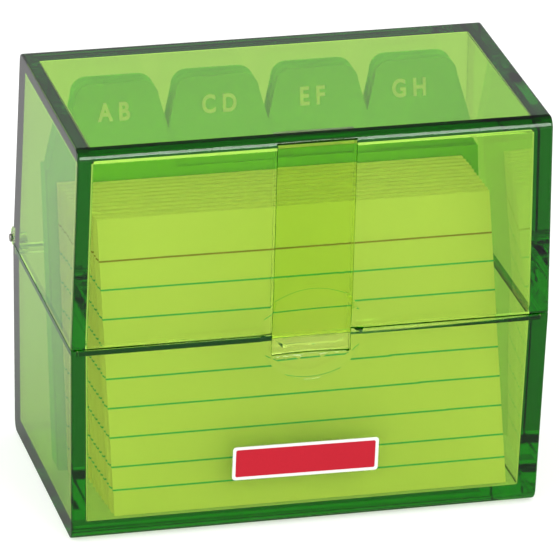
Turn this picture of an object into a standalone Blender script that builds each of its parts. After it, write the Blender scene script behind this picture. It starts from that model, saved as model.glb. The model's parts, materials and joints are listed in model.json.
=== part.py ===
"""Index card box with a hinged lid, a latch tongue, cards and a register of tabbed dividers.

All lengths are in metres and all angles in degrees. X runs along the front, Y towards the back
and Z up from the table. The box faces -Y. The pieces are one object each.
"""

import math

import bmesh
import bpy
from mathutils import Vector

# Running clearance between pieces that touch or rest on each other
GAP = 0.0003

# Cards
CARD_WIDTH = 0.074
CARD_HEIGHT = 0.0539
FRONT_CARD_THICKNESS = 0.0003
FRONT_CARD_PITCH = 0.0012
BUNDLE_COUNT = 10
BUNDLE_THICKNESS = 0.0009
BUNDLE_PITCH = 0.00184
FRONT_LEAN = 20.0
BACK_LEAN = 14.0
FRONT_CARD_OFFSET = 0.0017
BACK_CARD_OFFSET = 0.0002

# Dividers and their tabs
DIVIDER_LETTERS = ("ab", "cd", "ef", "gh", "ij", "kl", "mn", "op", "qr", "st", "uv", "wxyz")
TAB_COLUMNS = 4
DIVIDER_OVERHANG = 0.0025
DIVIDER_WIDTH = CARD_WIDTH + 2 * DIVIDER_OVERHANG
DIVIDER_BODY_HEIGHT = 0.0555
TAB_HEIGHT = 0.0138
DIVIDER_HEIGHT = DIVIDER_BODY_HEIGHT + TAB_HEIGHT
DIVIDER_THICKNESS = 0.00015
DIVIDER_PITCH = 0.0005
DIVIDER_OFFSET = 0.0009
TAB_PITCH = 0.01903
TAB_TOP_WIDTH = 0.0158
TAB_CORNER_RADIUS = 0.003
TAB_CORNER_STEPS = 6

# Shell walls and the room left round the contents
WALL = 0.003
SIDE_ROOM = 0.002
HEAD_ROOM = 0.0008
TOE_ROOM = 0.0009
BACK_ROOM = 0.0009

# Outside of the closed box, taken from its contents
CARD_STACK_DEPTH = FRONT_CARD_PITCH + (BUNDLE_COUNT - 1) * BUNDLE_PITCH
BUNDLE_FOOT = BUNDLE_THICKNESS / math.cos(math.radians(BACK_LEAN))
DIVIDER_START = CARD_STACK_DEPTH + BUNDLE_FOOT + DIVIDER_PITCH
DIVIDER_STACK_DEPTH = (len(DIVIDER_LETTERS) - 1) * DIVIDER_PITCH + DIVIDER_THICKNESS
DIVIDER_THROW = DIVIDER_HEIGHT * math.sin(math.radians(BACK_LEAN))
CONTENTS_DEPTH = DIVIDER_START + DIVIDER_STACK_DEPTH + DIVIDER_THROW
BOX_WIDTH = DIVIDER_WIDTH + 2 * (SIDE_ROOM + WALL)
BOX_DEPTH = TOE_ROOM + CONTENTS_DEPTH + BACK_ROOM + 2 * WALL
BOX_HEIGHT = DIVIDER_HEIGHT + GAP + HEAD_ROOM + 2 * WALL

# Seam between base and lid
SEAM_RISE = 0.00005
SEAM_HEIGHT = BOX_HEIGHT / 2 + SEAM_RISE
RIM_THICKNESS = 0.0012
LIP_OVERLAP = 0.00125

# Form of the shells
SIDE_DRAFT = 1.1
LID_DRAFT = 0.67
BASE_DRAFT = 0.2
LID_FRONT_RADIUS = 0.0022
LID_BACK_RADIUS = 0.0014
BASE_FRONT_RADIUS = 0.0024
BASE_BACK_RADIUS = 0.0024
INNER_RADIUS = 0.0003
CORNER_RADIUS = 0.0004
OUTER_STEPS = 12
INNER_STEPS = 4
CORNER_STEPS = 3

# Hinge
PIN_RADIUS = 0.00075
PIN_CLEARANCE = 0.00005
PIN_RISE = 0.0001
PIN_PROTRUSION = 0.0003
PIN_CHAMFER = 0.00012
PIN_SIDES = 24
BARREL_WALL = 0.0006
BARREL_RADIUS = PIN_RADIUS + PIN_CLEARANCE + BARREL_WALL
BARREL_STEPS = 10
HINGE_OFFSET = BARREL_RADIUS + GAP
HINGE_REACH = HINGE_OFFSET + BARREL_RADIUS
LEAF_INSET = 0.0003
LEAF_WIDTH = 0.0023
LEAF_EMBED = 0.0006
LEAF_RIM_MARGIN = 0.00015
LID_LEAF_FOOT = 0.0027
BASE_LEAF_FOOT = 0.0025

# Latch tongue
TONGUE_WIDTH = 0.0142
TONGUE_RIB = 0.0008
TONGUE_ROOT_DROP = 0.0014
TONGUE_LAP = 0.0041
LAP_THICKNESS = 0.0016
LAP_CHAMFER = 0.0002
FLEX_SETBACK = 0.0019
FLEX_DROP = 0.0003
POCKET_ROOM = 0.00045
CATCH_HEIGHT = 0.0002
CATCH_SLOPE = 0.0002
CATCH_FLAT = 0.0003
CATCH_DROP = 0.0019
RIDGE_DROP = 0.0029
CATCH_LENGTH = 0.01
CATCH_EMBED = 0.0002

# Thumb dish
DISH_RADIUS = 0.00945
DISH_DEPTH = 0.00095
DISH_EDGE = 0.00015
DISH_RINGS = 8
DISH_SIDES = 72

# How far a cutter reaches past what it cuts
CUT_MARGIN = 0.001

# Turns and the angles above which an edge is shaded sharp
QUARTER_TURN = 90.0
HALF_TURN = 180.0
SHELL_SHARP_ANGLE = 35.0
PIN_SHARP_ANGLE = 30.0

# Finishes
CLEAR_ROUGHNESS = 0.04
CLEAR_IOR = 1.58
CLEAR_TRANSMISSION = 0.9
CLEAR_PREVIEW_ALPHA = 0.45
CARD_ROUGHNESS = 0.85
STEEL_ROUGHNESS = 0.3
SHELL_COLOUR = (0.13, 0.42, 0.04)
TONGUE_COLOUR = (0.11, 0.4, 0.03)
STEEL_COLOUR = (0.55, 0.54, 0.52)
FRONT_CARD_COLOUR = (0.86, 0.87, 0.62)
BUNDLE_COLOUR = (0.84, 0.85, 0.6)
DIVIDER_COLOUR = (0.42, 0.72, 0.16)

# Places worked out from the sizes
FRONT = -(BOX_DEPTH + HINGE_REACH) / 2
BACK = FRONT + BOX_DEPTH
BASE_RIM = SEAM_HEIGHT - GAP / 2
LID_RIM = SEAM_HEIGHT + GAP / 2
LIP_END = SEAM_HEIGHT - LIP_OVERLAP
PIN_Y = BACK + HINGE_OFFSET
PIN_Z = SEAM_HEIGHT + PIN_RISE
TONGUE_TOP = BOX_HEIGHT - TONGUE_ROOT_DROP
TONGUE_END = SEAM_HEIGHT - TONGUE_LAP
FLOOR_TOP = WALL + GAP
TOE = FRONT + WALL + TOE_ROOM


def clear_scene():
    """Remove every object of the startup scene."""
    for old in list(bpy.data.objects):
        bpy.data.objects.remove(old, do_unlink=True)


def finish(name, colour, roughness, metallic, alpha):
    """A material with one colour, and its shader."""
    material = bpy.data.materials.new(name)
    material.use_nodes = True
    shader = material.node_tree.nodes["Principled BSDF"]
    shader.inputs["Base Color"].default_value = (*colour, 1.0)
    shader.inputs["Roughness"].default_value = roughness
    shader.inputs["Metallic"].default_value = metallic
    material.diffuse_color = (*colour, alpha)
    return material, shader


def plastic(name, colour):
    """Clear tinted plastic."""
    material, shader = finish(name, colour, CLEAR_ROUGHNESS, 0.0, CLEAR_PREVIEW_ALPHA)
    shader.inputs["IOR"].default_value = CLEAR_IOR
    shader.inputs["Transmission Weight"].default_value = CLEAR_TRANSMISSION
    return material


def paper(name, colour):
    """Matt card."""
    return finish(name, colour, CARD_ROUGHNESS, 0.0, 1.0)[0]


def steel(name):
    """Plain drawn steel wire."""
    return finish(name, STEEL_COLOUR, STEEL_ROUGHNESS, 1.0, 1.0)[0]


def make_object(name, bm, material=None, origin=(0.0, 0.0, 0.0)):
    """Turn a bmesh in scene coordinates into an object whose origin is at the given point."""
    bmesh.ops.recalc_face_normals(bm, faces=bm.faces)
    bmesh.ops.translate(bm, verts=bm.verts, vec=-Vector(origin))
    mesh = bpy.data.meshes.new(name)
    bm.to_mesh(mesh)
    bm.free()
    if material:
        mesh.materials.append(material)
    made = bpy.data.objects.new(name, mesh)
    made.location = origin
    bpy.context.collection.objects.link(made)
    return made


def make_cutter(name, bm):
    """A helper object that only a Boolean uses."""
    helper = make_object(name, bm)
    helper.hide_render = True
    helper.display_type = "WIRE"
    return helper


def boolean(target, helper, operation):
    """Add an exact Boolean of the helper to the target."""
    modifier = target.modifiers.new(f"{operation.title()} {helper.name}", "BOOLEAN")
    modifier.operation = operation
    modifier.solver = "EXACT"
    modifier.object = helper


def shade(part, angle):
    """Smooth shading with sharp edges above the given angle."""
    part.data.shade_smooth()
    part.data.set_sharp_from_angle(angle=math.radians(angle))


def prism(outline, sweep):
    """Extrude a closed outline of points along the sweep vector."""
    bm = bmesh.new()
    face = bm.faces.new([bm.verts.new(point) for point in outline])
    grown = bmesh.ops.extrude_face_region(bm, geom=[face])
    moved = [item for item in grown["geom"] if isinstance(item, bmesh.types.BMVert)]
    bmesh.ops.translate(bm, verts=moved, vec=sweep)
    return bm


def across(outline, low, high):
    """Extrude an outline of (y, z) points from x = low to x = high."""
    return prism([(low, y, z) for y, z in outline], (high - low, 0.0, 0.0))


def box(x_range, y_range, z_range):
    """A block between three pairs of limits."""
    outline = [(y_range[0], z_range[0]), (y_range[1], z_range[0])]
    outline += [(y_range[1], z_range[1]), (y_range[0], z_range[1])]
    return across(outline, *x_range)


def loft(loops):
    """Skin a list of closed loops of equal length and cap both ends."""
    bm = bmesh.new()
    rings = [[bm.verts.new(point) for point in loop] for loop in loops]
    for first, second in zip(rings, rings[1:]):
        count = len(first)
        for index in range(count):
            after = (index + 1) % count
            bm.faces.new((first[index], first[after], second[after], second[index]))
    bm.faces.new(rings[0])
    bm.faces.new(rings[-1])
    return bm


def edge_roll(depth, end, radius):
    """How far a wall steps in at this depth where it rolls into its closed end."""
    rise = max(depth - (end - radius), 0.0)
    return radius - math.sqrt(max(radius**2 - rise**2, 0.0))


def side_wall(depth, end):
    """Half the width of a shell at this depth from the seam, with draft and the rounded end edge."""
    draft = max(depth, 0.0) * math.tan(math.radians(SIDE_DRAFT))
    return BOX_WIDTH / 2 - draft - edge_roll(depth, end, CORNER_RADIUS)


def tub_loop(front, back, side_inset, end, direction, draft):
    """A rounded rectangle round a shell. Front and back are pairs of wall inset and depth."""
    slope = math.tan(math.radians(draft))
    turns = [math.radians(QUARTER_TURN * step / CORNER_STEPS) for step in range(CORNER_STEPS + 1)]
    front_corners = ((-1, FRONT, 1, front, turns), (1, FRONT, 1, front, turns[::-1]))
    back_corners = ((1, BACK, -1, back, turns), (-1, BACK, -1, back, turns[::-1]))
    points = []
    for side, wall, inward, (inset, depth), order in front_corners + back_corners:
        half = side_wall(depth, end) - side_inset
        lean_in = inset + slope * max(depth, 0.0)
        for turn in order:
            x = side * (half - CORNER_RADIUS * (1 - math.cos(turn)))
            y = wall + inward * (lean_in + CORNER_RADIUS * (1 - math.sin(turn)))
            points.append((x, y, SEAM_HEIGHT + direction * depth))
    return points


def rolled(inset, end, radius, turn):
    """Wall inset and depth on the quarter circle where a wall meets the shell's closed end."""
    return inset + radius * (1 - math.cos(turn)), end - radius * (1 - math.sin(turn))


def tub(direction, height, draft, front_radius, back_radius, rim):
    """An open shell. The rim is a list of inset and depth pairs from the outside to the inside."""
    loops = []
    for step in range(OUTER_STEPS, -1, -1):
        turn = math.radians(QUARTER_TURN * step / OUTER_STEPS)
        front = rolled(0.0, height, front_radius, turn)
        back = rolled(0.0, height, back_radius, turn)
        loops.append(tub_loop(front, back, 0.0, height, direction, draft))
    for inset, depth in rim:
        loops.append(tub_loop((inset, depth), (inset, depth), inset, height, direction, draft))
    for step in range(INNER_STEPS + 1):
        turn = math.radians(QUARTER_TURN * step / INNER_STEPS)
        inner = rolled(WALL, height - WALL, INNER_RADIUS, turn)
        loops.append(tub_loop(inner, inner, WALL, height - WALL, direction, draft))
    return loft(loops)


def barrel_arc(start, end):
    """Points of the hinge barrel, as distances behind the back wall and from the pin's height."""
    points = []
    for step in range(BARREL_STEPS + 1):
        turn = math.radians(start + (end - start) * step / BARREL_STEPS)
        along = HINGE_OFFSET + BARREL_RADIUS * math.cos(turn)
        points.append((along, BARREL_RADIUS * math.sin(turn)))
    return points


def leaf_outline(foot_curve, neck, foot):
    """A hinge leaf: its foot on the wall, an outer curve, the barrel and the neck at the rim."""
    inner_side = [(HINGE_OFFSET - BARREL_RADIUS, neck), (-LEAF_EMBED, neck), (-LEAF_EMBED, foot)]
    return foot_curve + inner_side


def lid_leaf_outline():
    """The lid's leaf swells in a quarter ellipse from its foot down to the barrel."""
    swell = []
    for step in range(BARREL_STEPS):
        turn = math.radians(QUARTER_TURN * step / BARREL_STEPS)
        swell.append((HINGE_REACH * math.sin(turn), LID_LEAF_FOOT * math.cos(turn)))
    neck = LID_RIM - PIN_Z + LEAF_RIM_MARGIN
    curve = swell + barrel_arc(0.0, -HALF_TURN)
    return [(BACK + y, PIN_Z + z) for y, z in leaf_outline(curve, neck, LID_LEAF_FOOT)]


def base_leaf_outline():
    """The base's leaf runs straight from its foot to the barrel, touching it as a tangent."""
    span = math.hypot(HINGE_OFFSET, BASE_LEAF_FOOT)
    bearing = math.degrees(math.atan2(BASE_LEAF_FOOT, -HINGE_OFFSET))
    tangent = bearing - math.degrees(math.acos(BARREL_RADIUS / span))
    neck = PIN_Z - BASE_RIM + LEAF_RIM_MARGIN
    curve = [(0.0, BASE_LEAF_FOOT)] + barrel_arc(tangent, -HALF_TURN)
    return [(BACK + y, PIN_Z - z) for y, z in leaf_outline(curve, neck, BASE_LEAF_FOOT)]


def add_leaves(shell, outline, outer):
    """Join a hinge leaf to the shell near each side, its outer face at this distance from x = 0."""
    for side, word in ((-1, "left"), (1, "right")):
        limits = sorted((side * outer, side * (outer - LEAF_WIDTH)))
        leaf = make_cutter(f"{shell.name} leaf {word}", across(outline, *limits))
        boolean(shell, leaf, "UNION")


def cylinder(radius, low, high, centre_y, centre_z, sides):
    """A round bar along X."""
    outline = []
    for index in range(sides):
        turn = 2 * math.pi * index / sides
        outline.append((centre_y + radius * math.cos(turn), centre_z + radius * math.sin(turn)))
    return across(outline, low, high)


def bore_pins(shell):
    """Cut the pin holes through both leaves at each side."""
    outer = BOX_WIDTH / 2 + CUT_MARGIN
    inner = BOX_WIDTH / 2 - LEAF_INSET - 2 * LEAF_WIDTH - GAP - CUT_MARGIN
    for side, word in ((-1, "left"), (1, "right")):
        limits = sorted((side * outer, side * inner))
        radius = PIN_RADIUS + PIN_CLEARANCE
        bar = cylinder(radius, *limits, PIN_Y, PIN_Z, PIN_SIDES)
        boolean(shell, make_cutter(f"{shell.name} bore {word}", bar), "DIFFERENCE")


def dish_cutter(name):
    """The thumb dish: a shallow cap of a sphere round the seam's middle, with a slanted edge."""
    hollow = DISH_DEPTH - DISH_EDGE
    sphere = (DISH_RADIUS**2 + hollow**2) / (2 * hollow)
    profile = []
    for ring in range(1, DISH_RINGS + 1):
        radius = DISH_RADIUS * ring / DISH_RINGS
        profile.append((radius, math.sqrt(sphere**2 - radius**2) - (sphere - DISH_DEPTH)))
    profile.append((DISH_RADIUS + DISH_EDGE + CUT_MARGIN, -CUT_MARGIN))
    bm = bmesh.new()
    rings = []
    for radius, depth in profile:
        points = []
        for index in range(DISH_SIDES):
            turn = 2 * math.pi * index / DISH_SIDES
            across_x, up = radius * math.cos(turn), radius * math.sin(turn)
            points.append(bm.verts.new((across_x, FRONT + depth, SEAM_HEIGHT + up)))
        rings.append(points)
    pole = bm.verts.new((0.0, FRONT + DISH_DEPTH, SEAM_HEIGHT))
    for index in range(DISH_SIDES):
        after = (index + 1) % DISH_SIDES
        bm.faces.new((pole, rings[0][index], rings[0][after]))
        for first, second in zip(rings, rings[1:]):
            bm.faces.new((first[index], second[index], second[after], first[after]))
    bm.faces.new(rings[-1])
    return make_cutter(name, bm)


def catch_outline(face, height, drop):
    """A low ridge on an upright face, as (y, z) points. A negative height stands out forwards."""
    middle = SEAM_HEIGHT - drop
    foot = CATCH_FLAT / 2 + CATCH_SLOPE
    embed = -math.copysign(CATCH_EMBED, height)
    tip = face + height
    outline = [(face + embed, middle - foot), (face, middle - foot), (tip, middle - CATCH_FLAT / 2)]
    outline += [(tip, middle + CATCH_FLAT / 2), (face, middle + foot), (face + embed, middle + foot)]
    return outline


def base_shell():
    """The lower shell: stepped rim, half of the thumb dish, latch pocket and inner hinge leaves."""
    step = LIP_OVERLAP + GAP
    rim = [(0.0, GAP / 2), (RIM_THICKNESS, GAP / 2), (RIM_THICKNESS, step), (WALL, step)]
    bm = tub(-1, SEAM_HEIGHT, BASE_DRAFT, BASE_FRONT_RADIUS, BASE_BACK_RADIUS, rim)
    shell = make_object("base_shell", bm, plastic("base_plastic", SHELL_COLOUR))
    outer = BOX_WIDTH / 2 - LEAF_INSET - LEAF_WIDTH - GAP
    add_leaves(shell, base_leaf_outline(), outer)
    bore_pins(shell)
    half = TONGUE_WIDTH / 2 + GAP
    floor = FRONT + LAP_THICKNESS + POCKET_ROOM
    bottom = TONGUE_END - GAP
    pocket = box((-half, half), (FRONT - CUT_MARGIN, floor), (bottom, SEAM_HEIGHT + CUT_MARGIN))
    boolean(shell, make_cutter("latch pocket", pocket), "DIFFERENCE")
    bump = across(catch_outline(floor, -CATCH_HEIGHT, CATCH_DROP), -CATCH_LENGTH / 2, CATCH_LENGTH / 2)
    boolean(shell, make_cutter("catch bump", bump), "UNION")
    boolean(shell, dish_cutter("base dish"), "DIFFERENCE")
    shade(shell, SHELL_SHARP_ANGLE)


def lid_shell():
    """The upper shell: inner lip, half of the thumb dish, tongue slot and outer hinge leaves."""
    rim = [(0.0, GAP / 2), (RIM_THICKNESS + GAP, GAP / 2)]
    rim += [(RIM_THICKNESS + GAP, -LIP_OVERLAP), (WALL, -LIP_OVERLAP)]
    height = BOX_HEIGHT - SEAM_HEIGHT
    bm = tub(1, height, LID_DRAFT, LID_FRONT_RADIUS, LID_BACK_RADIUS, rim)
    shell = make_object("lid_shell", bm, plastic("lid_plastic", SHELL_COLOUR))
    add_leaves(shell, lid_leaf_outline(), BOX_WIDTH / 2 - LEAF_INSET)
    bore_pins(shell)
    half = TONGUE_WIDTH / 2 + GAP
    depth = (FRONT - CUT_MARGIN, FRONT + WALL + TONGUE_RIB + GAP)
    slot = box((-half, half), depth, (LIP_END - CUT_MARGIN, TONGUE_TOP + GAP))
    boolean(shell, make_cutter("tongue slot", slot), "DIFFERENCE")
    boolean(shell, dish_cutter("lid dish"), "DIFFERENCE")
    shade(shell, SHELL_SHARP_ANGLE)


def tongue_outline():
    """The tongue's side view: lap below the seam, face in line with the lid, rib on the inside."""
    height = BOX_HEIGHT - SEAM_HEIGHT
    slope = math.tan(math.radians(LID_DRAFT))
    roll_start = height - LID_FRONT_RADIUS
    root = TONGUE_TOP - SEAM_HEIGHT
    points = [(LAP_CHAMFER, TONGUE_END), (0.0, TONGUE_END + LAP_CHAMFER), (0.0, SEAM_HEIGHT)]
    for step in range(INNER_STEPS + 1):
        depth = roll_start + (root - roll_start) * step / INNER_STEPS
        inset = slope * depth + edge_roll(depth, height, LID_FRONT_RADIUS)
        points.append((inset, SEAM_HEIGHT + depth))
    rib = WALL + TONGUE_RIB
    points += [(rib, TONGUE_TOP), (rib, LIP_END), (LAP_THICKNESS, LIP_END)]
    points.append((LAP_THICKNESS, TONGUE_END))
    return [(FRONT + y, z) for y, z in points]


def latch_tongue():
    """The spring arm in the lid's front. Its origin is on the line that it flexes about."""
    half = TONGUE_WIDTH / 2
    origin = (0.0, FRONT + FLEX_SETBACK, TONGUE_TOP - FLEX_DROP)
    arm = make_object(
        "latch_tongue",
        across(tongue_outline(), -half, half),
        plastic("tongue_plastic", TONGUE_COLOUR),
        origin,
    )
    ridge = catch_outline(FRONT + LAP_THICKNESS, CATCH_HEIGHT, RIDGE_DROP)
    bar = across(ridge, -CATCH_LENGTH / 2, CATCH_LENGTH / 2)
    boolean(arm, make_cutter("catch ridge", bar), "UNION")
    boolean(arm, dish_cutter("tongue dish"), "DIFFERENCE")
    shade(arm, SHELL_SHARP_ANGLE)


def hinge_pin(name, side):
    """A short steel pin through one pair of leaves, its ends chamfered."""
    outer = BOX_WIDTH / 2 + PIN_PROTRUSION
    inner = BOX_WIDTH / 2 - LEAF_INSET - 2 * LEAF_WIDTH - GAP
    limits = sorted((side * outer, side * inner))
    bm = cylinder(PIN_RADIUS, *limits, PIN_Y, PIN_Z, PIN_SIDES)
    rims = [edge for edge in bm.edges if abs(edge.verts[0].co.x - edge.verts[1].co.x) < PIN_CHAMFER]
    bmesh.ops.bevel(bm, geom=rims, offset=PIN_CHAMFER, segments=1, affect="EDGES")
    middle = (sum(limits) / 2, PIN_Y, PIN_Z)
    shade(make_object(name, bm, steel(f"{name}_steel"), middle), PIN_SHARP_ANGLE)


def card_block(name, toe, lean, thickness, offset, material):
    """Cards that stand level on the floor and lean back. The origin is on the front lower edge."""
    slope = math.tan(math.radians(lean)) * thickness
    outline = [(0.0, 0.0), (thickness, slope), (thickness, CARD_HEIGHT + slope), (0.0, CARD_HEIGHT)]
    block = make_object(name, across(outline, -CARD_WIDTH / 2, CARD_WIDTH / 2), material)
    block.location = (offset, toe, FLOOR_TOP)
    block.rotation_euler.x = -math.radians(lean)


def cards():
    """The front card, then the bundles behind it, each leaning a little less."""
    material = paper("front_card_paper", FRONT_CARD_COLOUR)
    card_block("front_card", TOE, FRONT_LEAN, FRONT_CARD_THICKNESS, FRONT_CARD_OFFSET, material)
    for index in range(1, BUNDLE_COUNT + 1):
        share = index / BUNDLE_COUNT
        lean = FRONT_LEAN + (BACK_LEAN - FRONT_LEAN) * share
        offset = FRONT_CARD_OFFSET + (BACK_CARD_OFFSET - FRONT_CARD_OFFSET) * share
        toe = TOE + FRONT_CARD_PITCH + (index - 1) * BUNDLE_PITCH
        name = f"card_bundle_{index:02d}"
        material = paper(f"{name}_paper", BUNDLE_COLOUR)
        card_block(name, toe, lean, BUNDLE_THICKNESS, offset, material)


def rounded_tab(centre):
    """A tab's outline as (x, z) points from its right foot over the top to its left foot."""
    foot = TAB_PITCH / 2 + DIVIDER_OVERHANG / 2
    outline = [(centre + foot, DIVIDER_BODY_HEIGHT)]
    for side, turns in ((1, range(TAB_CORNER_STEPS + 1)), (-1, range(TAB_CORNER_STEPS, -1, -1))):
        for step in turns:
            turn = math.radians(QUARTER_TURN * step / TAB_CORNER_STEPS)
            x = TAB_TOP_WIDTH / 2 - TAB_CORNER_RADIUS * (1 - math.cos(turn))
            z = DIVIDER_HEIGHT - TAB_CORNER_RADIUS * (1 - math.sin(turn))
            outline.append((centre + side * x, z))
    outline.append((centre - foot, DIVIDER_BODY_HEIGHT))
    return outline


def divider(letters, index):
    """One divider of the register, its tab in one of four columns."""
    column = index % TAB_COLUMNS
    centre = TAB_PITCH * (column - (TAB_COLUMNS - 1) / 2)
    half = DIVIDER_WIDTH / 2
    outline = [(half, 0.0), (half, DIVIDER_BODY_HEIGHT)]
    for x, z in rounded_tab(centre):
        outline.append((max(min(x, half), -half), z))
    outline += [(-half, DIVIDER_BODY_HEIGHT), (-half, 0.0)]
    kept = [outline[0]]
    for point in outline[1:]:
        if math.dist(point, kept[-1]) > DIVIDER_THICKNESS / 2:
            kept.append(point)
    name = f"divider_{letters}"
    bm = prism([(x, 0.0, z) for x, z in kept], (0.0, DIVIDER_THICKNESS, 0.0))
    sheet = make_object(name, bm, paper(f"{name}_paper", DIVIDER_COLOUR))
    sheet.location = (DIVIDER_OFFSET, TOE + DIVIDER_START + index * DIVIDER_PITCH, FLOOR_TOP)
    sheet.rotation_euler.x = -math.radians(BACK_LEAN)


def main():
    """Build every piece of the box."""
    clear_scene()
    base_shell()
    lid_shell()
    latch_tongue()
    hinge_pin("hinge_pin_left", -1)
    hinge_pin("hinge_pin_right", 1)
    cards()
    for index, letters in enumerate(DIVIDER_LETTERS):
        divider(letters, index)


main()
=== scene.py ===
"""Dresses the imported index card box: clear green shells, a latch tongue, ruled cards and tabbed dividers.

All lengths are in metres. The box faces -Y and stands on the floor at z = 0.
"""

import json
import math

import bmesh
import bpy
import numpy as np
from mathutils import Matrix, Vector


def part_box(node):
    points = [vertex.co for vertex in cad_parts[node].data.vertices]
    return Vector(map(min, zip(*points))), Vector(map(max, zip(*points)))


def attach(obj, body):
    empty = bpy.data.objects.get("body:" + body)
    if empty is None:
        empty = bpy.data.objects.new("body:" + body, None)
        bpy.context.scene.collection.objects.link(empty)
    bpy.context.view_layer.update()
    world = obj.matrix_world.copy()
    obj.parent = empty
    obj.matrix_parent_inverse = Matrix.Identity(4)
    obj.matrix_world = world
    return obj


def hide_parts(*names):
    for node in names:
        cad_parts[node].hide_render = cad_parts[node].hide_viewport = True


bl_info = {
    "name": "Index card box",
    "version": (1, 0, 0),
    "blender": (4, 5, 0),
    "location": "View3D > Sidebar > Card Box",
    "description": "Builds the looks of a clear index card box round its packed solids",
    "category": "Add Mesh",
}

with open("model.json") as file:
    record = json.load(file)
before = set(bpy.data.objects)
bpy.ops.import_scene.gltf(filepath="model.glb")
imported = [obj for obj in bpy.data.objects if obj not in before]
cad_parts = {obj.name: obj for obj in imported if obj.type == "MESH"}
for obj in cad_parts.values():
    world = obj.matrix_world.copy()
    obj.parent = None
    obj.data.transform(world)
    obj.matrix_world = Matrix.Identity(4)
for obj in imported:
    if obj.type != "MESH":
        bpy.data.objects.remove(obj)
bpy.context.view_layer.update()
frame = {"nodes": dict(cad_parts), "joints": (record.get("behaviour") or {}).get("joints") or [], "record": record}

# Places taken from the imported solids
JOINTS = {joint["name"]: joint for joint in frame["joints"]}
BODIES = frame["record"]["behaviour"]["bodies"]
BODY_OF = {node: body for body, nodes in BODIES.items() for node in nodes}
FRONT_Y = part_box("base_shell")[0].y
PIN_ABOVE_SEAM = 0.0001
SEAM_Z = JOINTS["lid_hinge"]["pos_m"][2] - PIN_ABOVE_SEAM
BUNDLES = sorted(name for name in frame["nodes"] if name.startswith("card_bundle_"))
FRONT_DIVIDERS = "dividers_front"
DIVIDERS = [node for body in (FRONT_DIVIDERS, "dividers_middle", "dividers_rear")
            for node in BODIES[body]]

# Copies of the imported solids
SAME_PLACE = 0.000001
SLIVER = 0.0000001
SAME_HEIGHT = 0.00001
COPY_SHARP_ANGLE = 20.0
WHOLE_FACE_WEIGHT = 100
TONGUE_WIDENED = 1.028

# Hinge pins
PIN_RINGS = 41
PIN_SIDES = 48
PIN_END_POWER = 60
PIN_SHARP_ANGLE = 40.0

# Single cards, and how far they slip out of line
CARD_COLUMNS = 9
CARD_ROWS = 7
SLIP_ACROSS = 0.00015
SLIP_DOWN = 0.00006
SLIP_SEED = 7

# Ruling of the cards, measured down from the top edge
RULING_MAP = "Ruling"
HEAD_LINE = 0.0077
FIRST_LINE_STEP = 0.0052
LINE_PITCH = 0.00535
LINE_COUNT = 7
LAST_LINE = 0.0492
LINE_HALF_WIDTH = 0.00016
LINE_SHARPNESS = 12000.0
LINE_EDGE_SHARE = 0.5
HEAD_INK = (0.42, 0.2, 0.08)
LINE_INK = (0.08, 0.5, 0.42)

# Index letters, placed from the top edge of their tab
LETTER_COLOUR = (0.78, 0.75, 0.7)
LETTER_DROP = 0.0035
LETTER_SHIFTS = {"ab": -0.0006, "cd": 0.0003, "ef": -0.001, "gh": -0.0013}
LETTER_SPREAD = 1.6
LETTER_NARROWED = 0.82
LETTER_BOLDER = 0.03
LETTER_PROUD = 0.00003
LETTER_THICKNESS = 0.00002
LONGEST_WORD = 2.4

# Bare label on the base's front
LABEL_CENTRE = (-0.0004, 0.0129)
LABEL_TURN = 0.6
LABEL_SHEET = 0.00004
LABEL_BORDER = 0.0006
LABEL_BORDER_COLOUR = (0.9, 0.9, 0.9)
LABEL_GAP = 0.00001
FIELD_PROUD = 0.00001
LABEL_COLUMNS = 33
LABEL_ROWS = 5
BASE_DRAFT = 0.2

# Clear plastic: its colour holds for light that has passed this depth
CLEAR_DEPTH = 0.001
FULL_LOSS_MARGIN = 1.05
PLASTIC_IOR = 1.58
PLASTIC_SMEAR = 0.03
SMEAR_SCALE = 45.0
SMEAR_DETAIL = 3.0
SCUFF_SCALE = 900.0
SCUFF_DETAIL = 2.0
SWELL_SCALE = 70.0
SWELL_DETAIL = 1.0
SWELL_HEIGHT = 0.00002
SWELL_STRENGTH = 0.3

# Card
CARD_ROUGHNESS = 0.8
CARD_SPECULAR = 0.3
FIBRE_SCALE = 2600.0
FIBRE_DETAIL = 3.0
CLOUD_SCALE = 60.0
CLOUD_DETAIL = 2.0
FIBRE_HEIGHT = 0.00003
FIBRE_STRENGTH = 0.5
CARD_TONE_CHANGE = 0.05
DIVIDER_TONE_CHANGE = 0.06
PRINT_TONE_CHANGE = 0.03
FIELD_TONE_CHANGE = 0.1

# Drawn steel
STEEL_COLOUR = (0.62, 0.6, 0.56)
STEEL_TONE_CHANGE = 0.15
STEEL_ROUGHNESS = 0.14
RING_ROUGHNESS = 0.3
RING_SQUEEZE = (9.0, 1.0, 1.0)
RING_SCALE = 700.0
RING_DETAIL = 3.0
RING_HEIGHT = 0.00001
RING_STRENGTH = 0.4

# Camera, fitted to the box's outline in the photograph
VIEW_AZIMUTH = -15.107
VIEW_ELEVATION = 24.0176
VIEW_ROLL = 1.7884
VIEW_DISTANCE = 1.1144
VIEW_TARGET = (-0.006292, 0.0, 0.048995)
VIEW_REACH = 20.0
LENS = 399.73
SENSOR = 36.0

# Brightness of the world: on open surfaces, as seen through the shells, into the box from the horizon
# and from overhead, as seen straight on, and as mirrored near the horizon and overhead
WORLD_LIGHT = 1.0
WORLD_THROUGH = 1.25
WORLD_INTO_BOX = (2.45, 1.1)
WORLD_SEEN = 1.0
WORLD_MIRRORED = (0.6, 0.2)
MIRRORED_TURN = (0.3, 0.6)

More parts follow.
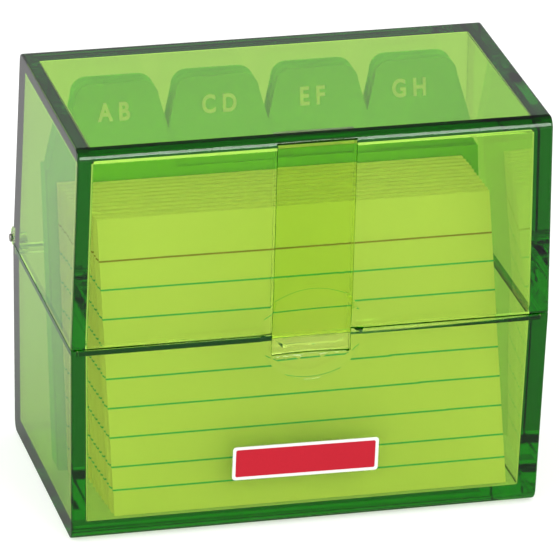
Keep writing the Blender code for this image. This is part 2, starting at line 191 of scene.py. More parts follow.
# The floor's sent-back share and its glow, each in the open, through the shells, into the box and as
# seen straight on, and its mirrored image before and behind the box
FLOOR_ALBEDO = (0.58, 0.24, 0.5, 0.58)
FLOOR_GLOW = (0.0, 0.5, 0.9, 0.5)
FLOOR_MIRRORED = (0.3, 0.5)
MIRRORED_BEHIND = (-0.05, 0.1)
FLOOR_DROP = 0.0003
FLOOR_SIZE = 4.0
FLOOR_POINTS = 5
FLOOR_ROUGHNESS = 0.9
FLOOR_FIBRE_SCALE = 400.0
FLOOR_TONE_CHANGE = 0.01

# Soft lamps: name, place, size and watts
LAMPS = (("key", (0.2, -0.62, 0.52), 0.34, 2.2), ("fill", (-0.6, -0.2, 0.45), 0.5, 2.0))
LAMP_AIM = (0.0, 0.0, 0.04)

# How often light may turn inside the clear edges before it is lost
GLOSSY_BOUNCES = 16
TRANSMISSION_BOUNCES = 24
ALL_BOUNCES = 32

# Colours and the sockets of a Mix node that works on colours
BLACK = (0.0, 0.0, 0.0, 1.0)
WHITE = (1.0, 1.0, 1.0, 1.0)
MIX_SHARE, MIX_FIRST, MIX_SECOND, MIX_RESULT = 0, 6, 7, 2


class CardBoxSizes(bpy.types.PropertyGroup):
    """Sizes of the dressed pieces."""

    sheet_thickness: bpy.props.FloatProperty(
        name="Card thickness", description="Thickness of one card in the pack",
        default=0.00018, unit="LENGTH", precision=5)
    sheets_in_bundle: bpy.props.IntProperty(
        name="Cards in a bundle", description="How many cards stand for one solid of the pack",
        default=5, min=1)
    letter_height: bpy.props.FloatProperty(
        name="Letter height", description="Height of the index letters on the tabs",
        default=0.0035, unit="LENGTH", precision=5)
    label_width: bpy.props.FloatProperty(
        name="Label width", description="Width of the bare label on the front",
        default=0.0274, unit="LENGTH", precision=5)
    label_height: bpy.props.FloatProperty(
        name="Label height", description="Height of the bare label on the front",
        default=0.0066, unit="LENGTH", precision=5)


class CardBoxColours(bpy.types.PropertyGroup):
    """Colours of the finishes, in linear light."""

    plastic: bpy.props.FloatVectorProperty(
        name="Plastic", description="Light left after one millimetre of the clear plastic",
        subtype="COLOR", size=3, default=(0.885, 0.965, 0.7), min=0.0, max=1.0)
    tongue: bpy.props.FloatVectorProperty(
        name="Tongue", description="Light left after one millimetre of the latch tongue's plastic",
        subtype="COLOR", size=3, default=(0.87, 0.955, 0.6), min=0.0, max=1.0)
    card: bpy.props.FloatVectorProperty(
        name="Card", description="Colour of the index cards",
        subtype="COLOR", size=3, default=(0.96, 0.8, 0.55), min=0.0, max=1.0)
    divider: bpy.props.FloatVectorProperty(
        name="Divider", description="Colour of the front row of dividers",
        subtype="COLOR", size=3, default=(0.22, 0.57, 0.03), min=0.0, max=1.0)
    # Painted light: the rows behind the front one stand in its shade, so this is a lighter copy of the divider
    # colour that paints that shade out.
    rear_divider: bpy.props.FloatVectorProperty(
        name="Rear divider", description="Colour of the dividers in the rows behind",
        subtype="COLOR", size=3, default=(0.3, 0.82, 0.03), min=0.0, max=1.0)
    label: bpy.props.FloatVectorProperty(
        name="Label", description="Colour of the label's field",
        subtype="COLOR", size=3, default=(0.62, 0.012, 0.03), min=0.0, max=1.0)


def mesh_points(mesh):
    """The vertices of a mesh as an array of points."""
    values = np.empty(len(mesh.vertices) * 3, np.float32)
    mesh.vertices.foreach_get("co", values)
    return values.reshape(-1, 3).astype(float)


def leaning_sheet(node):
    """A solid's lower front edge's middle, unit vector up the sheet, height, width and depth."""
    points = mesh_points(frame["nodes"][node].data)
    low, high = points.min(axis=0), points.max(axis=0)
    toe = points[points[:, 1].argmin()]
    top = points[points[:, 2] > high[2] - SAME_HEIGHT]
    rise = np.array([0.0, top[:, 1].min() - toe[1], high[2] - toe[2]])
    height = np.linalg.norm(rise)
    foot = np.array([(low[0] + high[0]) / 2, toe[1], toe[2]])
    depth = top[:, 1].max() - top[:, 1].min()
    return foot, rise / height, height, high[0] - low[0], depth


def add_object(name, data):
    """A new object at the origin, linked to the scene."""
    made = bpy.data.objects.new(name, data)
    bpy.context.scene.collection.objects.link(made)
    return made


def make_mesh(name, points, faces, material, down=None):
    """A mesh object at the origin. Its UV map holds x and, where given, how far down points lie."""
    mesh = bpy.data.meshes.new(name)
    mesh.from_pydata(points.tolist(), [], [[int(corner) for corner in face] for face in faces])
    mesh.materials.append(material)
    if down is not None:
        corners = np.empty(len(mesh.loops), np.int32)
        mesh.loops.foreach_get("vertex_index", corners)
        place = np.stack([points[corners, 0], down[corners]], axis=1)
        mesh.uv_layers.new(name=RULING_MAP).data.foreach_set("uv", place.ravel())
    return add_object(name, mesh)


def grid_faces(rows, columns):
    """Quads between neighbours of a grid of points that is numbered row by row."""
    index = np.arange(rows * columns).reshape(rows, columns)
    corners = (index[:-1, :-1], index[:-1, 1:], index[1:, 1:], index[1:, :-1])
    return np.stack([corner.ravel() for corner in corners], axis=1)


def slab(front, offset):
    """A closed plate: the front grid, the same grid moved by the offset, and a rim between them."""
    rows, columns = front.shape[:2]
    count = rows * columns
    index = np.arange(count).reshape(rows, columns)
    edge = np.concatenate([index[0, :-1], index[:-1, -1], index[-1, :0:-1], index[:0:-1, 0]])
    after = np.roll(edge, -1)
    rim = np.stack([edge, edge + count, after + count, after], axis=1)
    near = grid_faces(rows, columns)
    points = np.concatenate([front.reshape(-1, 3), (front + offset).reshape(-1, 3)])
    return points, np.concatenate([near, near[:, ::-1] + count, rim])


def join(parts):
    """The arrays of several parts, each with points, faces and how far down its points lie, as one."""
    starts = np.cumsum([0] + [len(points) for points, _, _ in parts])
    faces = [part[1] + start for part, start in zip(parts, starts)]
    return (np.concatenate([part[0] for part in parts]), np.concatenate(faces),
            np.concatenate([part[2] for part in parts]))


def smooth(piece, degrees):
    """Smooth shading with edges kept sharp above this angle."""
    piece.data.shade_smooth()
    piece.data.set_sharp_from_angle(angle=math.radians(degrees))


def smooth_copy(node, name, material, widened=1.0):
    """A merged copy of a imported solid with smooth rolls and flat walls, widened about x = 0."""
    mesh = frame["nodes"][node].data.copy()
    mesh.name = name
    bm = bmesh.new()
    bm.from_mesh(mesh)
    bmesh.ops.remove_doubles(bm, verts=bm.verts, dist=SAME_PLACE)
    bmesh.ops.dissolve_degenerate(bm, edges=bm.edges, dist=SLIVER)
    bm.to_mesh(mesh)
    bm.free()
    mesh.materials.clear()
    mesh.materials.append(material)
    mesh.transform(Matrix.Diagonal((widened, 1.0, 1.0, 1.0)))
    made = add_object(name, mesh)
    smooth(made, COPY_SHARP_ANGLE)
    flatten = made.modifiers.new("flat_faces", "WEIGHTED_NORMAL")
    flatten.keep_sharp = True
    flatten.weight = WHOLE_FACE_WEIGHT
    flatten.thresh = 0.0
    return made


def finish_piece(piece, node):
    """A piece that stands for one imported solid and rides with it."""
    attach(piece, BODY_OF[node])
    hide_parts(node)


def material_with_shader(name):
    """A new material and its nodes, links and Principled shader."""
    material = bpy.data.materials.new(name)
    material.use_nodes = True
    tree = material.node_tree
    return material, tree.nodes, tree.links, tree.nodes["Principled BSDF"]


def node_group(name, inputs, outputs):
    """An empty shader group with named sockets, and its input and output nodes."""
    tree = bpy.data.node_groups.new(name, "ShaderNodeTree")
    for label, kind, default in inputs:
        socket = tree.interface.new_socket(label, in_out="INPUT", socket_type=kind)
        if default is not None:
            socket.default_value = default
    for label, kind in outputs:
        tree.interface.new_socket(label, in_out="OUTPUT", socket_type=kind)
    return tree, tree.nodes.new("NodeGroupInput"), tree.nodes.new("NodeGroupOutput")


def place_group(nodes, maker, values):
    """A node that uses the group of this maker, built the first time, with its constant inputs set."""
    placed = nodes.new("ShaderNodeGroup")
    placed.node_tree = bpy.data.node_groups.get(maker.__name__) or maker()
    for label, value in values.items():
        placed.inputs[label].default_value = value
    return placed


def feed(links, socket, value):
    """Link a socket's value, or set it where the value is a plain number or colour."""
    if isinstance(value, bpy.types.NodeSocket):
        links.new(value, socket)
    else:
        socket.default_value = value


def noise(nodes, links, vector, scale, detail):
    """A noise texture on the given coordinates."""
    made = nodes.new("ShaderNodeTexNoise")
    feed(links, made.inputs["Scale"], scale)
    feed(links, made.inputs["Detail"], detail)
    links.new(vector, made.inputs["Vector"])
    return made.outputs["Fac"]


def maths(nodes, links, operation, *values, clamp=False):
    """A Math node on sockets or plain numbers."""
    made = nodes.new("ShaderNodeMath")
    made.operation = operation
    made.use_clamp = clamp
    for socket, value in zip(made.inputs, values):
        feed(links, socket, value)
    return made.outputs[0]


def blend(nodes, links, share, first, second):
    """The first number where the share is 0 and the second where it is 1."""
    made = nodes.new("ShaderNodeMix")
    links.new(share, made.inputs["Factor"])
    feed(links, made.inputs["A"], first)
    feed(links, made.inputs["B"], second)
    return made.outputs["Result"]


def blend_colours(nodes, links, share, first, second):
    """The first colour where the share is 0 and the second where it is 1."""
    made = nodes.new("ShaderNodeMix")
    made.data_type = "RGBA"
    links.new(share, made.inputs[MIX_SHARE])
    feed(links, made.inputs[MIX_FIRST], first)
    feed(links, made.inputs[MIX_SECOND], second)
    return made.outputs[MIX_RESULT]


def smooth_step(nodes, links, value, low, high):
    """0 below the low limit, 1 above the high one and a smooth curve between them."""
    made = nodes.new("ShaderNodeMapRange")
    made.interpolation_type = "SMOOTHSTEP"
    made.inputs["From Min"].default_value = low
    made.inputs["From Max"].default_value = high
    links.new(value, made.inputs["Value"])
    return made.outputs["Result"]


def separated(nodes, links, vector):
    """The node that splits a vector into X, Y and Z."""
    apart = nodes.new("ShaderNodeSeparateXYZ")
    links.new(vector, apart.inputs["Vector"])
    return apart


def object_coordinates(nodes):
    """The Object output of a Texture Coordinate node."""
    return nodes.new("ShaderNodeTexCoord").outputs["Object"]


def bump(nodes, links, height, distance, strength, shader):
    """A Bump node from a height into the shader's normal."""
    made = nodes.new("ShaderNodeBump")
    made.inputs["Strength"].default_value = strength
    made.inputs["Distance"].default_value = distance
    links.new(height, made.inputs["Height"])
    links.new(made.outputs["Normal"], shader.inputs["Normal"])


def card_fibres():
    """Paper fibres: fine noise for the height and, with broad clouds added, for the tone."""
    tree, source, sink = node_group(
        "card_fibres",
        [("Vector", "NodeSocketVector", None), ("Scale", "NodeSocketFloat", FIBRE_SCALE),
         ("Tone Change", "NodeSocketFloat", CARD_TONE_CHANGE)],
        [("Tone", "NodeSocketFloat"), ("Height", "NodeSocketFloat")])
    nodes, links = tree.nodes, tree.links
    fine = noise(nodes, links, source.outputs["Vector"], source.outputs["Scale"], FIBRE_DETAIL)
    clouds = noise(nodes, links, source.outputs["Vector"], CLOUD_SCALE, CLOUD_DETAIL)
    both = maths(nodes, links, "ADD", fine, clouds)
    change = maths(nodes, links, "MULTIPLY", both, source.outputs["Tone Change"])
    links.new(maths(nodes, links, "SUBTRACT", 1.0, change), sink.inputs["Tone"])
    links.new(fine, sink.inputs["Height"])
    return tree


def handled_gloss():
    """Handled gloss: broad smears and fine scuffs for the roughness, a slow swell for the height."""
    tree, source, sink = node_group(
        "handled_gloss",
        [("Vector", "NodeSocketVector", None), ("Smear", "NodeSocketFloat", PLASTIC_SMEAR)],
        [("Roughness", "NodeSocketFloat"), ("Height", "NodeSocketFloat")])
    nodes, links = tree.nodes, tree.links
    place = source.outputs["Vector"]
    smears = noise(nodes, links, place, SMEAR_SCALE, SMEAR_DETAIL)
    scuffs = noise(nodes, links, place, SCUFF_SCALE, SCUFF_DETAIL)
    patchy = maths(nodes, links, "MULTIPLY", smears, scuffs)
    rough = maths(nodes, links, "MULTIPLY", patchy, source.outputs["Smear"])
    links.new(rough, sink.inputs["Roughness"])
    links.new(noise(nodes, links, place, SWELL_SCALE, SWELL_DETAIL), sink.inputs["Height"])
    return tree


def ruled_line():
    """A ruled line: full inside its half width, fading out over a soft edge."""
    tree, source, sink = node_group(
        "ruled_line",
        [("Position", "NodeSocketFloat", None), ("Line", "NodeSocketFloat", 0.0)],
        [("Mask", "NodeSocketFloat")])
    nodes, links = tree.nodes, tree.links
    away = maths(nodes, links, "SUBTRACT", source.outputs["Position"], source.outputs["Line"])
    distance = maths(nodes, links, "ABSOLUTE", away)
    inside = maths(nodes, links, "SUBTRACT", LINE_HALF_WIDTH, distance)
    edge = maths(nodes, links, "MULTIPLY", inside, LINE_SHARPNESS)
    links.new(maths(nodes, links, "ADD", edge, LINE_EDGE_SHARE, clamp=True), sink.inputs["Mask"])
    return tree


def clear_plastic(name, left):
    """Clear polished plastic whose colour deepens with the length of the light's way through it."""
    material, nodes, links, shader = material_with_shader(name)
    shader.inputs["Base Color"].default_value = WHITE
    shader.inputs["IOR"].default_value = PLASTIC_IOR
    shader.inputs["Transmission Weight"].default_value = 1.0
    gloss = place_group(nodes, handled_gloss, {"Smear": PLASTIC_SMEAR})
    links.new(object_coordinates(nodes), gloss.inputs["Vector"])
    links.new(gloss.outputs["Roughness"], shader.inputs["Roughness"])
    bump(nodes, links, gloss.outputs["Height"], SWELL_HEIGHT, SWELL_STRENGTH, shader)
    loss = -np.log(np.array(left)) / CLEAR_DEPTH
    density = loss.max() * FULL_LOSS_MARGIN
    absorber = nodes.new("ShaderNodeVolumeAbsorption")
    absorber.inputs["Color"].default_value = (*(1.0 - loss / density), 1.0)
    absorber.inputs["Density"].default_value = density
    links.new(absorber.outputs["Volume"], nodes["Material Output"].inputs["Volume"])
    return material


def card_stock(name, colour, tone_change):
    """Matt card with fibres. The colour is three numbers, or a function that makes it from the nodes."""
    material, nodes, links, shader = material_with_shader(name)
    shader.inputs["Roughness"].default_value = CARD_ROUGHNESS
    shader.inputs["Specular IOR Level"].default_value = CARD_SPECULAR
    fibres = place_group(nodes, card_fibres, {"Tone Change": tone_change})
    links.new(object_coordinates(nodes), fibres.inputs["Vector"])
    base = colour(nodes, links) if callable(colour) else (*colour, 1.0)
    toned = blend_colours(nodes, links, fibres.outputs["Tone"], BLACK, base)
    links.new(toned, shader.inputs["Base Color"])
    bump(nodes, links, fibres.outputs["Height"], FIBRE_HEIGHT, FIBRE_STRENGTH, shader)
    return material


def ruled_colour(nodes, links):
    """The cards' colour: a head line, then writing lines down the card."""
    place = nodes.new("ShaderNodeUVMap")
    place.uv_map = RULING_MAP
    down = separated(nodes, links, place.outputs["UV"]).outputs["Y"]
    first = HEAD_LINE + FIRST_LINE_STEP
    lines = [first + step * LINE_PITCH for step in range(LINE_COUNT)] + [LAST_LINE]
    mixed = (*bpy.context.scene.card_box_colours.card, 1.0)
    for line, ink in [(HEAD_LINE, HEAD_INK)] + [(line, LINE_INK) for line in lines]:
        mask = place_group(nodes, ruled_line, {"Line": line})
        links.new(down, mask.inputs["Position"])
        mixed = blend_colours(nodes, links, mask.outputs["Mask"], mixed, (*ink, 1.0))
    return mixed


def drawn_steel():
    """Drawn steel wire: dull grey with fine rings of scuffing round it."""
    material, nodes, links, shader = material_with_shader("drawn_steel")
    shader.inputs["Metallic"].default_value = 1.0
    squeeze = nodes.new("ShaderNodeMapping")
    squeeze.inputs["Scale"].default_value = RING_SQUEEZE
    links.new(object_coordinates(nodes), squeeze.inputs["Vector"])
    rings = noise(nodes, links, squeeze.outputs["Vector"], RING_SCALE, RING_DETAIL)
    ringed = maths(nodes, links, "MULTIPLY", rings, RING_ROUGHNESS)
    links.new(maths(nodes, links, "ADD", ringed, STEEL_ROUGHNESS), shader.inputs["Roughness"])
    fibres = place_group(nodes, card_fibres, {"Tone Change": STEEL_TONE_CHANGE})
    links.new(squeeze.outputs["Vector"], fibres.inputs["Vector"])
    toned = blend_colours(nodes, links, fibres.outputs["Tone"], BLACK, (*STEEL_COLOUR, 1.0))
    links.new(toned, shader.inputs["Base Color"])
    bump(nodes, links, rings, RING_HEIGHT, RING_STRENGTH, shader)
    return material


class CardBoxShells(bpy.types.Operator):
    """Build the clear base, lid and latch tongue."""

    bl_idname = "card_box.shells"
    bl_label = "Clear shells"

    def execute(self, context):
        colours = context.scene.card_box_colours
        for node, slot, left, widened in (
                ("base_shell", "base_plastic", colours.plastic, 1.0),
                ("lid_shell", "lid_plastic", colours.plastic, 1.0),
                ("latch_tongue", "tongue_plastic", colours.tongue, TONGUE_WIDENED)):
            plastic = clear_plastic(f"clear_{slot}", left[:])
            finish_piece(smooth_copy(node, f"clear_{node}", plastic, widened), node)
        return {"FINISHED"}


def lathed_pin(low, high):
    """A bar along X: radius R sqrt(1 - |s|^p) at x = middle + half length s, turned about X.

    s is the sine of evenly spaced angles from -90 to 90 degrees, so rings lie closest at the ends,
    and p is the end power, which keeps the bar straight nearly to its domed ends.
    """
    middle, half = (low + high) / 2, (high - low) / 2
    share = np.sin(np.linspace(-math.pi / 2, math.pi / 2, PIN_RINGS))[1:-1]
    radius = half[1] * np.sqrt(1.0 - np.abs(share) ** PIN_END_POWER)
    turn = np.linspace(0.0, 2 * math.pi, PIN_SIDES, endpoint=False)
    y = middle[1] + radius[:, None] * np.cos(turn)
    z = middle[2] + radius[:, None] * np.sin(turn)
    x = np.broadcast_to(middle[0] + half[0] * share[:, None], y.shape)
    ends = middle + np.array([[-half[0], 0.0, 0.0], [half[0], 0.0, 0.0]])
    points = np.concatenate([np.stack([x, y, z], axis=-1).reshape(-1, 3), ends])
    index = np.arange(x.size).reshape(x.shape)
    around = np.roll(index, -1, axis=1)
    corners = (index[:-1], index[1:], around[1:], around[:-1])
    walls = np.stack([corner.ravel() for corner in corners], axis=1)
    near = np.stack([index[0], around[0], np.full(PIN_SIDES, x.size)], axis=1)
    far = np.stack([around[-1], index[-1], np.full(PIN_SIDES, x.size + 1)], axis=1)
    return points, [*walls, *near, *far]


class CardBoxPins(bpy.types.Operator):
    """Build the steel hinge pins as lathed bars with domed ends."""

    bl_idname = "card_box.pins"
    bl_label = "Hinge pins"

    def execute(self, context):
        steel = drawn_steel()
        for side in ("left", "right"):
            node = f"hinge_pin_{side}"
            low, high = (np.array(corner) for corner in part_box(node))
            piece = make_mesh(f"steel_{node}", *lathed_pin(low, high), steel)
            smooth(piece, PIN_SHARP_ANGLE)
            finish_piece(piece, node)
        return {"FINISHED"}


def card_sheet(foot, up, height, width, thickness):
    """One leaning card: P(u, v) = foot + u width X + v height up, closed by its thickness along Y."""
    across = np.linspace(-0.5, 0.5, CARD_COLUMNS) * width
    rows = np.linspace(0.0, 1.0, CARD_ROWS)
    rise = foot + rows[:, None] * height * up
    grid = rise[:, None, :] + across[None, :, None] * np.array([1.0, 0.0, 0.0])
    points, faces = slab(grid, np.array([0.0, thickness, 0.0]))
    down = np.repeat(height * (1.0 - rows), CARD_COLUMNS)
    return points, faces, np.tile(down, 2)


class CardBoxFrontCard(bpy.types.Operator):
    """Build the front card, ruled across its whole width."""

    bl_idname = "card_box.front_card"
    bl_label = "Front card"

    def execute(self, context):
        stock = card_stock("ruled_card", ruled_colour, CARD_TONE_CHANGE)
        points, faces, down = card_sheet(*leaning_sheet("front_card"))
        piece = make_mesh("card_front", points, faces, stock, down)
        finish_piece(piece, "front_card")
        return {"FINISHED"}


def sheet_pack(node, sheets, thickness, rng):
    """Cards side by side in one bundle's room, each a leaning plate with a small slip of its own."""
    foot, up, height, width, depth = leaning_sheet(node)
    pitch = (depth - thickness) / max(sheets - 1, 1)
    parts = []
    for sheet in range(sheets):
        across = rng.uniform(-SLIP_ACROSS, SLIP_ACROSS)
        lower = rng.uniform(0.0, SLIP_DOWN)
        start = foot + np.array([across, sheet * pitch, 0.0])
        parts.append(card_sheet(start, up, height - lower, width, thickness))
    return join(parts)


class CardBoxBundles(bpy.types.Operator):
    """Build the pack behind the front card from single ruled cards."""

    bl_idname = "card_box.bundles"
    bl_label = "Card pack"

    def execute(self, context):
        sizes = context.scene.card_box_sizes
        stock = card_stock("pack_card", ruled_colour, CARD_TONE_CHANGE)
        rng = np.random.default_rng(SLIP_SEED)
        for node in BUNDLES:
            points, faces, down = sheet_pack(node, sizes.sheets_in_bundle, sizes.sheet_thickness, rng)
            piece = make_mesh(f"cards_{node[-2:]}", points, faces, stock, down)
            finish_piece(piece, node)
        return {"FINISHED"}


class CardBoxDividers(bpy.types.Operator):
    """Build the tabbed dividers in dyed card. The rows behind the front one are painted lighter against the shade
    the front row casts on them.
    """

    bl_idname = "card_box.dividers"
    bl_label = "Dividers"

    def execute(self, context):
        colours = context.scene.card_box_colours
        front = card_stock("dyed_card", colours.divider, DIVIDER_TONE_CHANGE)
        # Painted light: the rear rows use the same green made lighter, which cancels the front row's shade on
        # their tabs.
        rear_painted_lighter = card_stock("rear_dyed_card_painted_lighter", colours.rear_divider, DIVIDER_TONE_CHANGE)
        for node in DIVIDERS:
            stock = front if BODY_OF[node] == FRONT_DIVIDERS else rear_painted_lighter
            finish_piece(smooth_copy(node, f"dyed_{node}", stock), node)
        return {"FINISHED"}


def letters_mesh(name, letters, thickness_share):
    """The mesh of a line of capitals that is centred on x = 0, with its thickness along Z."""
    curve = bpy.data.curves.new(name, "FONT")
    curve.body = letters
    curve.align_x = "CENTER"
    curve.space_character = LETTER_SPREAD
    curve.extrude = thickness_share / 2
    curve.offset = LETTER_BOLDER
    text = add_object(name, curve)
    graph = bpy.context.evaluated_depsgraph_get()
    mesh = bpy.data.meshes.new_from_object(text.evaluated_get(graph))
    bpy.data.objects.remove(text)
    bpy.data.curves.remove(curve)
    mesh.name = name
    return mesh


def tab_letters(node, ink, height):
    """The index letters of a divider as a thin flat print on the front of its tab."""
    word = node.split("_")[1]
    foot, up, reach, _, _ = leaning_sheet(node)
    points = mesh_points(frame["nodes"][node].data)
    tab = points[(points - foot) @ up > reach - SAME_HEIGHT]
    mesh = letters_mesh(f"letters_{word}", word.upper(), LETTER_THICKNESS / height)
    flat = mesh_points(mesh)
    scale = height / (flat[:, 1].max() - flat[:, 1].min())
    squeeze = scale * LETTER_NARROWED * min(1.0, LONGEST_WORD / len(word))
    out = np.array([0.0, -up[2], up[1]])
    base = foot + up * (reach - LETTER_DROP - height) + out * LETTER_PROUD
    base[0] = (tab[:, 0].min() + tab[:, 0].max()) / 2 + LETTER_SHIFTS.get(word, 0.0)
    placed = (base + flat[:, :1] * squeeze * np.array([1.0, 0.0, 0.0])
              + (flat[:, 1:2] - flat[:, 1].min()) * scale * up + flat[:, 2:3] * scale * out)
    mesh.vertices.foreach_set("co", placed.ravel())
    mesh.materials.clear()
    mesh.materials.append(ink)
    mesh.update()
    return add_object(mesh.name, mesh)


class CardBoxLetters(bpy.types.Operator):
    """Print the index letters on the tabs."""

    bl_idname = "card_box.letters"
    bl_label = "Index letters"

    def execute(self, context):
        ink = card_stock("letter_print", LETTER_COLOUR, PRINT_TONE_CHANGE)
        for node in DIVIDERS:
            piece = tab_letters(node, ink, context.scene.card_box_sizes.letter_height)
            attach(piece, BODY_OF[node])
        return {"FINISHED"}


def label_grid(width, height, corner, lift):
    """A rounded rectangle on the base's front wall, turned a little about its centre.

    Its half height at x is height / 2 - c + sqrt(c^2 - i^2), where c is the corner's radius and i is
    how far x lies inside the corner's room. The wall leans by the base's draft, and the plate with it.
    """
    x = np.sin(np.linspace(-math.pi / 2, math.pi / 2, LABEL_COLUMNS)) * width / 2
    inside = np.clip(np.abs(x) - (width / 2 - corner), 0.0, corner)
    half = height / 2 - corner + np.sqrt(np.clip(corner**2 - inside**2, 0.0, None))
    z = np.linspace(-1.0, 1.0, LABEL_ROWS)[:, None] * half[None, :]
    turn = math.radians(LABEL_TURN)
    flat_x = LABEL_CENTRE[0] + x * math.cos(turn) + z * math.sin(turn)
    flat_z = LABEL_CENTRE[1] - x * math.sin(turn) + z * math.cos(turn)
    depth = (SEAM_Z - flat_z) * math.tan(math.radians(BASE_DRAFT))
    return np.stack([flat_x, FRONT_Y + depth - lift, flat_z], axis=-1)


class CardBoxLabel(bpy.types.Operator):
    """Put a bare red label with a white border on the base's front."""

    bl_idname = "card_box.label"
    bl_label = "Bare label"

    def execute(self, context):
        sizes, colours = context.scene.card_box_sizes, context.scene.card_box_colours
        white = card_stock("label_border", LABEL_BORDER_COLOUR, PRINT_TONE_CHANGE)
        red = card_stock("label_field", colours.label, FIELD_TONE_CHANGE)
        width, height, lift = sizes.label_width, sizes.label_height, LABEL_GAP + LABEL_SHEET
        plate = label_grid(width, height, LABEL_BORDER, lift)
        field = label_grid(width - 2 * LABEL_BORDER, height - 2 * LABEL_BORDER, LABEL_BORDER / 2,
                           lift + FIELD_PROUD)
        back = np.array([0.0, LABEL_SHEET, 0.0])
        for name, grid, material in (("label_plate", plate, white), ("label_field", field, red)):
            piece = make_mesh(name, *slab(grid, back), material)
            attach(piece, "base")
        return {"FINISHED"}


def make_camera():
    """The camera on its azimuth and elevation round the target, rolled a little."""
    azimuth, elevation = math.radians(VIEW_AZIMUTH), math.radians(VIEW_ELEVATION)
    back = Vector((math.sin(azimuth) * math.cos(elevation),
                   -math.cos(azimuth) * math.cos(elevation), math.sin(elevation)))
    right = (-back).cross(Vector((0.0, 0.0, 1.0))).normalized()
    up = right.cross(-back)
    roll = math.radians(VIEW_ROLL)
    turned = math.cos(roll) * right + math.sin(roll) * up
    lifted = -math.sin(roll) * right + math.cos(roll) * up
    place = Vector(VIEW_TARGET) + Vector((0.0, FRONT_Y, 0.0)) + back * VIEW_DISTANCE
    data = bpy.data.cameras.new("camera")
    data.lens = LENS
    data.sensor_width = SENSOR
    data.clip_end = VIEW_REACH
    camera = add_object("camera", data)
    turn = Matrix((turned, lifted, back)).transposed().to_4x4()
    camera.matrix_world = Matrix.Translation(place) @ turn
    bpy.context.scene.camera = camera


def mirrored(nodes, links):
    """1 for rays that were mirrored last, 0 for the others, and the node that tells rays apart."""
    path = nodes.new("ShaderNodeLightPath")
    glossy, passed = path.outputs["Is Glossy Ray"], path.outputs["Is Transmission Ray"]
    return maths(nodes, links, "SUBTRACT", glossy, passed, clamp=True), path


def by_ray(nodes, links, path, open_air, through, into_box, seen):
    """A level for each kind of ray: open air, through a shell, into the box, or the camera's."""
    lit = maths(nodes, links, "MINIMUM", path.outputs["Diffuse Depth"], 1.0)
    passed = blend(nodes, links, lit, through, into_box)
    level = blend(nodes, links, path.outputs["Is Transmission Ray"], open_air, passed)
    return blend(nodes, links, path.outputs["Is Camera Ray"], level, seen)


def make_world():
    """White where it is seen, brighter where it lights the box and dimmer in the mirrored image."""
    world = bpy.data.worlds.new("studio")
    world.use_nodes = True
    nodes, links = world.node_tree.nodes, world.node_tree.links
    background = nodes["Background"]
    background.inputs["Color"].default_value = WHITE
    mirror, path = mirrored(nodes, links)
    direction = nodes.new("ShaderNodeTexCoord").outputs["Generated"]
    rise = separated(nodes, links, direction).outputs["Z"]
    into_box = blend(nodes, links, rise, *WORLD_INTO_BOX)
    strength = by_ray(nodes, links, path, WORLD_LIGHT, WORLD_THROUGH, into_box, WORLD_SEEN)
    overhead = smooth_step(nodes, links, rise, *MIRRORED_TURN)
    image = blend(nodes, links, overhead, *WORLD_MIRRORED)
    links.new(blend(nodes, links, mirror, strength, image), background.inputs["Strength"])
    bpy.context.scene.world = world


def make_floor():
    """A pale matt floor under the box."""
    material, nodes, links, shader = material_with_shader("floor")
    fibres = place_group(nodes, card_fibres,
                         {"Scale": FLOOR_FIBRE_SCALE, "Tone Change": FLOOR_TONE_CHANGE})
    place = object_coordinates(nodes)
    links.new(place, fibres.inputs["Vector"])
    mirror, path = mirrored(nodes, links)
    behind = smooth_step(nodes, links, separated(nodes, links, place).outputs["Y"], *MIRRORED_BEHIND)
    image = blend(nodes, links, behind, *FLOOR_MIRRORED)
    albedo = blend(nodes, links, mirror, by_ray(nodes, links, path, *FLOOR_ALBEDO), image)
    tone = maths(nodes, links, "MULTIPLY", fibres.outputs["Tone"], albedo)
    links.new(tone, shader.inputs["Base Color"])
    shader.inputs["Roughness"].default_value = FLOOR_ROUGHNESS
    shader.inputs["Specular IOR Level"].default_value = 0.0
    shader.inputs["Emission Color"].default_value = WHITE
    links.new(by_ray(nodes, links, path, *FLOOR_GLOW), shader.inputs["Emission Strength"])
    share = np.linspace(-FLOOR_SIZE / 2, FLOOR_SIZE / 2, FLOOR_POINTS)
    x, y = np.meshgrid(share, share)
    grid = np.stack([x, y, np.full_like(x, -FLOOR_DROP)], axis=-1)
    faces = grid_faces(FLOOR_POINTS, FLOOR_POINTS)
    make_mesh("floor", grid.reshape(-1, 3), faces, material)


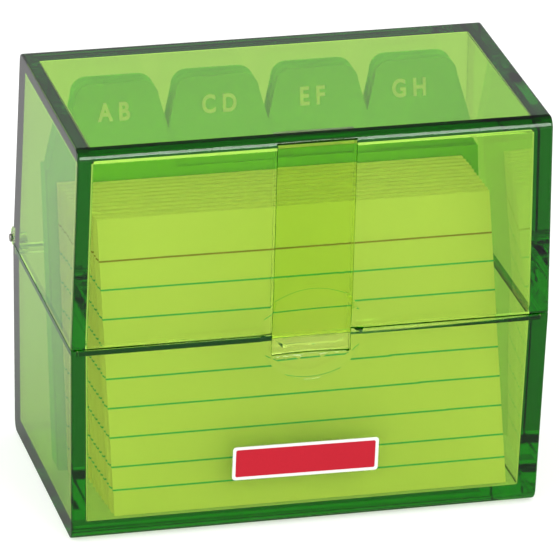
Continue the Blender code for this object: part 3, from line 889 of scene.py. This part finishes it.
def make_lamp(name, place, size, watts):
    """A square soft light that points from its place to the box."""
    data = bpy.data.lights.new(name, "AREA")
    data.size = size
    data.energy = watts
    lamp = add_object(name, data)
    lamp.location = place
    lamp.rotation_euler = (Vector(LAMP_AIM) - Vector(place)).to_track_quat("-Z", "Y").to_euler()


class CardBoxStage(bpy.types.Operator):
    """Set up the floor, the lights and the camera."""

    bl_idname = "card_box.stage"
    bl_label = "Stage"

    def execute(self, context):
        make_world()
        make_floor()
        make_camera()
        for lamp in LAMPS:
            make_lamp(*lamp)
        context.scene.view_settings.view_transform = "Standard"
        context.scene.cycles.glossy_bounces = GLOSSY_BOUNCES
        context.scene.cycles.transmission_bounces = TRANSMISSION_BOUNCES
        context.scene.cycles.max_bounces = ALL_BOUNCES
        return {"FINISHED"}


class CardBoxPanel(bpy.types.Panel):
    """Lists the operators that build the box."""

    bl_label = "Card Box"
    bl_idname = "VIEW3D_PT_card_box"
    bl_space_type = "VIEW_3D"
    bl_region_type = "UI"
    bl_category = "Card Box"

    def draw(self, context):
        for settings in (context.scene.card_box_sizes, context.scene.card_box_colours):
            for name in settings.__annotations__:
                self.layout.prop(settings, name)
        for operator in OPERATORS:
            self.layout.operator(operator.bl_idname)


OPERATORS = (CardBoxShells, CardBoxPins, CardBoxFrontCard, CardBoxBundles, CardBoxDividers,
             CardBoxLetters, CardBoxLabel, CardBoxStage)
CLASSES = (CardBoxSizes, CardBoxColours, *OPERATORS, CardBoxPanel)


def register():
    """Register the settings, operators and panel."""
    for entry in CLASSES:
        bpy.utils.register_class(entry)
    bpy.types.Scene.card_box_sizes = bpy.props.PointerProperty(type=CardBoxSizes)
    bpy.types.Scene.card_box_colours = bpy.props.PointerProperty(type=CardBoxColours)


def unregister():
    """Remove what register added."""
    del bpy.types.Scene.card_box_colours
    del bpy.types.Scene.card_box_sizes
    for entry in reversed(CLASSES):
        bpy.utils.unregister_class(entry)


def main():
    """Build every piece in order."""
    register()
    bpy.ops.card_box.shells()
    bpy.ops.card_box.pins()
    bpy.ops.card_box.front_card()
    bpy.ops.card_box.bundles()
    bpy.ops.card_box.dividers()
    bpy.ops.card_box.letters()
    bpy.ops.card_box.label()
    bpy.ops.card_box.stage()


if __name__ == "__main__":
    main()
